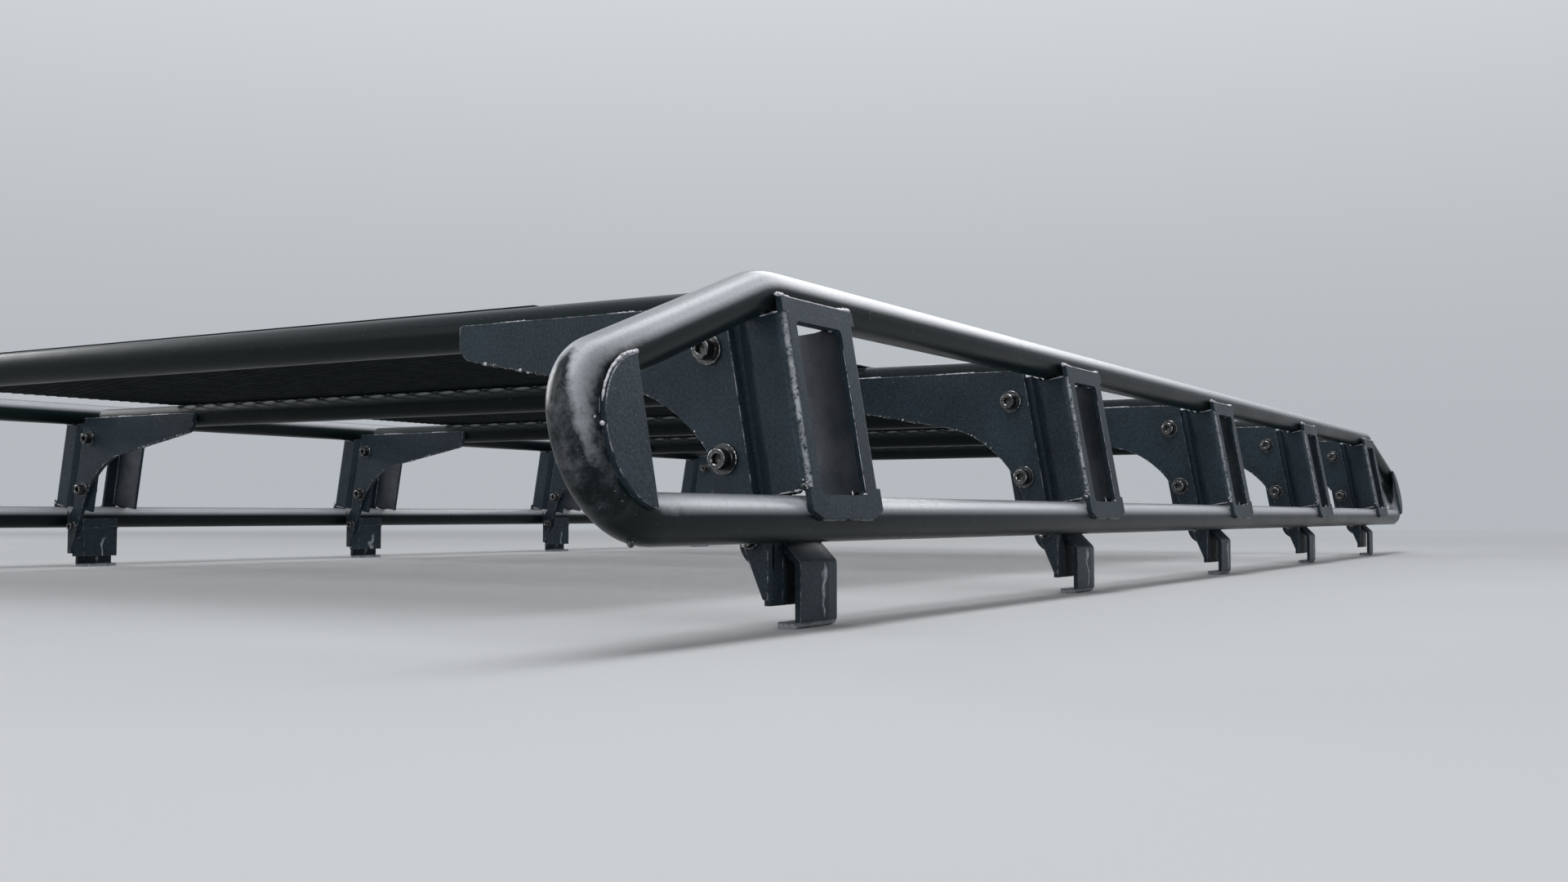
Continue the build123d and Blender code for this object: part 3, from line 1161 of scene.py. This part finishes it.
class Rod:
    """Lays one kind of weld on a piece, in that piece's own axes and in millimetres."""

    def __init__(self, sizes, draw):
        self.bm = bmesh.new()
        self.size, self.pitch, self.uniform = sizes.bead, sizes.bead_pitch, draw.uniform

    def bead(self, points, start, end, pitch=1.0):
        """Rippled weld through points, from one width to another, tapered at both ends."""
        points = [Vector([part * MM for part in point]) for point in points]
        start, end, pitch = start * self.size, end * self.size, pitch * self.pitch
        spots = []
        for here, there in zip(points, points[1:]):
            count = max(1, round((there - here).length / pitch))
            spots += [here.lerp(there, step / count) for step in range(count)]
        spots.append(points[-1])
        last = len(spots) - 1
        row = size = spot = None
        for index, here in enumerate(spots):
            swell = 1.0 if index % 2 else 0.80
            taper = min(1.0, 0.45 + 0.3 * min(index, last - index))
            radius = start + (end - start) * index / last
            new_size = radius * swell * taper * self.uniform(0.80, 1.16)
            here = here + Vector([self.uniform(-0.12, 0.12) * radius for _ in range(3)])
            if row is None:
                row = ring(self.bm, new_size, here, spots[1] - spots[0], 8, squash=0.8)
                cap(self.bm, row)
            else:
                row = push(self.bm, row, here - spot, new_size / size, here)
            size, spot = new_size, here
        cap(self.bm, row)

    def lump(self, at, radius):
        """Small lump of spatter or of a tack."""
        stretch = [self.uniform(0.7, 1.2) * radius * MM for _ in range(3)]
        place = Matrix.Translation([part * MM for part in at])
        bmesh.ops.create_icosphere(
            self.bm, subdivisions=2, radius=1.0, matrix=place @ Matrix.Diagonal((*stretch, 1)))

    def scatter(self, about, spread, count, small, large):
        """Lumps of mixed size strewn round a point."""
        for _ in range(count):
            at = [middle + self.uniform(-reach, reach) for middle, reach in zip(about, spread)]
            self.lump(at, self.uniform(small, large))


def bracket_welds(dark, pale, draw):
    """Welds of one bracket, in the rail's own axes: along, up the lean, outboard."""
    edge, face, step, plate = (
        size / MM for size in (BRACKET_HALF, FACE_OUT, STEP_OUT, PLATE_T))
    foot, top, low, high = (
        size / MM for size in (BRACKET_LOW, BRACKET_TOP + 1 * MM, CHANNEL_LOW, CHANNEL_TOP))
    for end in (-1, 1):
        tail = end * (edge - draw.uniform(14, 30))
        pale.bead([
            (end * (edge + 2), top + 0.8, face - 2.6),
            (end * (edge - 8), top + 0.3, face - 2.0),
            (tail, top - 0.6, face - 1.4),
        ], 1.05, 0.3, 0.8)
        dark.bead([(end * (edge - 12), foot + 0.1, face - 2.4),
                   (end * 2, foot + 0.1, face - 2.4)], 0.85, 0.45)
    pale.bead([(8 - edge, top - 0.4, face - 0.7), (edge - 8, top - 0.4, face - 0.7)],
              0.24, 0.24, 0.8)
    for up in (low - 1.1, high + 1.1):
        for end, reach in ((-1, -step), (1, -11)):
            dark.bead([(end * (edge - 2), up, 11), (end * (edge - 2), up, reach)], 1, 0.8)
    dark.bead([(6 - edge, high - 0.5, face - plate - 2.4),
               (edge - 6, high - 0.5, face - plate - 2.4)], 1.3, 1)
    pale.bead([
        (-edge - 0.2, high + 0.5, 1),
        (-edge - 0.2, high + 0.5, 11),
        (-edge + 1.8, high + 0.5, face - 1.6),
        (-edge + 6, high + 0.1, face + 0.1),
    ], 0.22, 0.4, 0.6)
    pale.bead([(-edge - 0.2, low - 0.6, -5), (-edge - 0.2, low - 0.9, 12)], 0.2, 0.5, 0.6)
    dark.scatter((0.6 - edge, low + 0.6, face - 3.2), (1.8, 2.4, 1.8), 9, 0.9, 2.1)
    pale.scatter((-1.2 - edge, low + 1.8, face - 2.0), (0.8, 3.2, 1.6), 6, 0.5, 1.0)

    left, right, sill, lintel = (size / MM for size in WINDOW)
    nick = left + draw.uniform(8, 40)
    pale.bead([(nick, sill - 0.3, face - 1.2),
               (nick + 1.3, sill + draw.uniform(2, 5), face - 1.8)], 0.4, 0.15, 0.5)
    pale.lump((right, draw.uniform(40, 90), face - 0.4), 0.8)
    # The pale lump at the window's low right corner and the thin pale line up its right edge are
    # painted highlights
    pale.lump((right - 0.8, sill + 0.8, face - 0.9), 1.2)
    pale.lump((right - 5, lintel + 0.4, face - plate - 1), 1.3)
    pale.bead([(right - 0.1, sill + 3, face - 0.5), (right - 0.1, lintel - 12, face - 0.5)],
              0.16, 0.11, 1.5)
    pale.scatter((edge - 2, high + 0.4, -18), (1.2, 0.5, 7), 4, 0.5, 0.9)


def nose_welds(dark, pale, _):
    """Welds of one nose: round its plate's upper edge, and a drip below."""
    along, up = (part / MM for part in NOSE_PLATE_AT)

    def spot(degrees, out=0.4, away=0.0):
        turn = radians(degrees)
        reach = NOSE_PLATE_R / MM + 0.7 + away
        return along + reach * cos(turn), up + reach * sin(turn), TUBE_R / MM + out

    # The pale bead round the plate's upper edge and the pale tacks are chipped undercoat that also
    # stands in as a painted highlight
    pale.bead([spot(degrees, 2.0) for degrees in range(97, 164, 4)], 0.74, 0.48, 0.7)
    dark.bead([spot(degrees) for degrees in range(158, 174, 4)], 0.4, 0.5, 0.7)
    for degrees, away, radius in ((97, 0.0, 1.4), (177, 0.3, 1.4), (173, 3.6, 0.8)):
        pale.lump(spot(degrees, 2.2 - 0.5 * away, away), radius)
    dark.lump((along - 9.5, -11.6, 0), 2.6)


def arc_ends():
    """Centre of a gusset's rounded knee, and the ways from it to its arc's ends."""
    corner = Vector(knee())
    inward = (Vector((GUSSET_TIP, GUSSET_TIP_LOW)) - corner).normalized()
    downward = Vector((sin(LEG_ANGLE), -cos(LEG_ANGLE)))
    half = inward.angle(downward) / 2
    centre = corner + (inward + downward).normalized() * GUSSET_ARC / sin(half)
    return centre, *(
        (corner + way * GUSSET_ARC / tan(half) - centre).normalized()
        for way in (inward, downward))


def leg_welds(dark, pale, draw):
    """Weld along a gusset's top and dross under it: outboard, up, forward of its face."""
    tip, top, tip_low, out, rail = (
        size / MM for size in (GUSSET_TIP, GUSSET_TOP, GUSSET_TIP_LOW, LEG_OUT, RAIL_Z))
    start, stop = tip + 6, CROSS_HALF / MM - 4
    seam = 0.6 - GUSSET_T / MM
    dark.bead([(start, top, seam), (stop, top, seam)], 0.35, 0.6)
    # Pale stretches on the top weld: chipped undercoat that also stands in as a painted highlight
    for share in (0.18, 0.62):
        here = start + (stop - start) * (share + draw.uniform(-0.06, 0.06))
        there = here + draw.uniform(24, 44)
        pale.bead([(here, top + 0.2, seam + 1.2), (there, top + 0.3, seam + 0.8)],
                  0.25, 0.55, 0.7)
    for _ in range(80):
        along = draw.uniform(12, 110)
        height = tip_low - along * tan(GUSSET_SLOPE) + 0.4
        at = (tip + along, height, -draw.uniform(0, 3))
        draw.choice((dark, dark, pale)).lump(at, draw.uniform(0.5, 1.5))
    centre, first, last = arc_ends()
    for _ in range(70):
        at = (centre + first.slerp(last, draw.uniform(0, 1)) * GUSSET_ARC) / MM
        draw.choice((dark, pale)).lump((*at, -draw.uniform(0, 2)), draw.uniform(0.35, 0.8))
    dark.bead([(out + 0.2, rail - 9, -0.6), (out + 0.2, rail + 9, -0.6)], 0.9, 0.6)


class RACK_OT_welds(bpy.types.Operator):
    """Weld beads, tacks and spatter where tube and plate meet"""
    bl_idname = "rack.welds"
    bl_label = "Welds"

    def execute(self, context):
        draw = random.Random(4)
        for name, side in SIDES.items():
            jobs = []
            for y in UPRIGHTS:
                jobs.append((bracket_welds, rail_space(side, y)))
                jobs.append((leg_welds, cross_space(side, y - BRACKET_HALF)))
            jobs += [(nose_welds, nose_space(side, *end)) for end in ENDS]
            # The pale tacks show chipped paint over the undercoat, and also stand in as painted
            # highlights on the welds
            smooth, flaked_and_highlit = bmesh.new(), bmesh.new()
            for weld, place in jobs:
                dark, pale = (Rod(context.scene.rack_sizes, draw) for _ in range(2))
                weld(dark, pale, draw)
                for target, made in ((smooth, dark.bm), (flaked_and_highlit, pale.bm)):
                    orient(made)
                    join(target, placed(made, place))
                    made.free()
            show(f"welds_{name}", smooth, weld_paint(), sharp=60)
            show(f"tacks_{name}", flaked_and_highlit, chipped_and_highlit_weld(), sharp=60)
        return {"FINISHED"}


# Stage

LAMPS = (
    # name, place, aim, width and height, share of the softbox's radiance
    ("overhead", (0.62, -1.0, 2.45), (0.62, -0.999, 0), (0.75, 4.4), 0.66),
    ("rear_softbox", (0.3, 5.0, 3.5), (0.68, -1.0, 0.15), (5.5, 2.2), 0.45),
    ("rim_softbox", (-4.4, -0.6, 1.75), (0.66, -1.2, 0.12), (2.2, 1.8), 0.75),
    ("fold_softbox", (2.5, -2.0, 0.95), (0.70, -1.0, 0.14), (0.7, 1.2), 0.42),
    ("front_fill", (-0.9, -3.9, 0.9), (0.66, -1.0, 0.14), (2.4, 1.5), 0.17),
)
FLOOR_HALF = 9
FLOOR_FADE = (2.2, 6.2)
SKY_RISE = (0.02, 0.75)


def add_floor(stage):
    """Pale floor that fades to the backdrop's colour far out."""
    bm = bmesh.new()
    bmesh.ops.create_grid(bm, x_segments=1, y_segments=1, size=FLOOR_HALF)
    paint = Paint(bpy.data.materials.new("floor_paint"))
    reach = paint.node(
        "ShaderNodeVectorMath", {0: paint.place}, "Value", operation="LENGTH")
    far = reach.span(*FLOOR_FADE, interpolation_type="SMOOTHSTEP")
    shade = paint.noise(1.3, 3).span(0.3, 0.7)
    near = paint.blend(shade, dimmed(stage.floor, 0.97), stage.floor)
    paint.coat(paint.blend(far, near, (0, 0, 0)), 0.75, None, 0.0)
    paint.finish(Emission_Color=(*stage.horizon, 1),
                 Emission_Strength=far * paint.seen(stage.ambient))
    floor = add_mesh("floor", bm, paint.owner)


def add_backdrop(stage):
    """Sky that is palest overhead, and dim as light."""
    paint = Paint(bpy.data.worlds.new("studio"), "Background")
    way = paint.node("ShaderNodeTexCoord", output="Generated")
    rise = paint.axes(way)[2].span(*SKY_RISE, interpolation_type="SMOOTHSTEP")
    paint.finish(Color=paint.blend(rise, stage.horizon, stage.sky),
                 Strength=paint.seen(stage.ambient))
    bpy.context.scene.world = paint.owner


class RACK_OT_stage(bpy.types.Operator):
    """Pale floor, soft lamps and the camera"""
    bl_idname = "rack.stage"
    bl_label = "Stage"

    def execute(self, context):
        scene = context.scene
        stage = scene.rack_stage
        add_floor(stage)
        add_backdrop(stage)
        for name, spot, target, size, share in LAMPS:
            light = bpy.data.lights.new(name, "AREA")
            light.shape = "RECTANGLE"
            light.size, light.size_y = size
            light.energy = stage.softbox * share * pi * size[0] * size[1]
            lamp = add_object(name, light)
            lamp.location = spot
            aim = Vector(target) - lamp.location
            lamp.rotation_euler = aim.to_track_quat("-Z", "Y").to_euler()

        view = bpy.data.cameras.new("eye")
        view.lens = stage.lens
        view.sensor_width = 36
        view.clip_start = 0.01
        camera = add_object("eye", view)
        camera.location = stage.eye
        camera.rotation_euler = (stage.pitch, 0, stage.yaw)
        scene.camera = camera
        scene.view_settings.view_transform = "Standard"
        return {"FINISHED"}


PIECES = (
    RACK_OT_side_loops,
    RACK_OT_cross_tubes,
    RACK_OT_nose_plates,
    RACK_OT_brackets,
    RACK_OT_gusset_legs,
    RACK_OT_gutter_clamps,
    RACK_OT_deck,
    RACK_OT_screws,
    RACK_OT_welds,
    RACK_OT_stage,
)
SETTINGS = {"rack_sizes": RackSizes, "rack_finish": RackFinish, "rack_stage": RackStage}


class RACK_PT_panel(bpy.types.Panel):
    """Pieces of the rack, in the order they are made, and their settings"""
    bl_idname = "RACK_PT_panel"
    bl_label = "Steel roof rack"
    bl_space_type = "VIEW_3D"
    bl_region_type = "UI"
    bl_category = "Rack"

    def draw(self, context):
        for operator in PIECES:
            self.layout.operator(operator.bl_idname)
        for name in SETTINGS:
            group = getattr(context.scene, name)
            for key in group.__annotations__:
                self.layout.prop(group, key)


CLASSES = (*SETTINGS.values(), *PIECES, RACK_PT_panel)


def register():
    for item in CLASSES:
        bpy.utils.register_class(item)
    for name, group in SETTINGS.items():
        setattr(bpy.types.Scene, name, PointerProperty(type=group))


def unregister():
    for name in SETTINGS:
        delattr(bpy.types.Scene, name)
    for item in reversed(CLASSES):
        bpy.utils.unregister_class(item)


def main():
    register()
    bpy.ops.rack.stage()
    bpy.ops.rack.side_loops()
    bpy.ops.rack.cross_tubes()
    bpy.ops.rack.nose_plates()
    bpy.ops.rack.brackets()
    bpy.ops.rack.gusset_legs()
    bpy.ops.rack.gutter_clamps()
    bpy.ops.rack.deck()
    bpy.ops.rack.screws()
    bpy.ops.rack.welds()


if __name__ == "__main__":
    main()
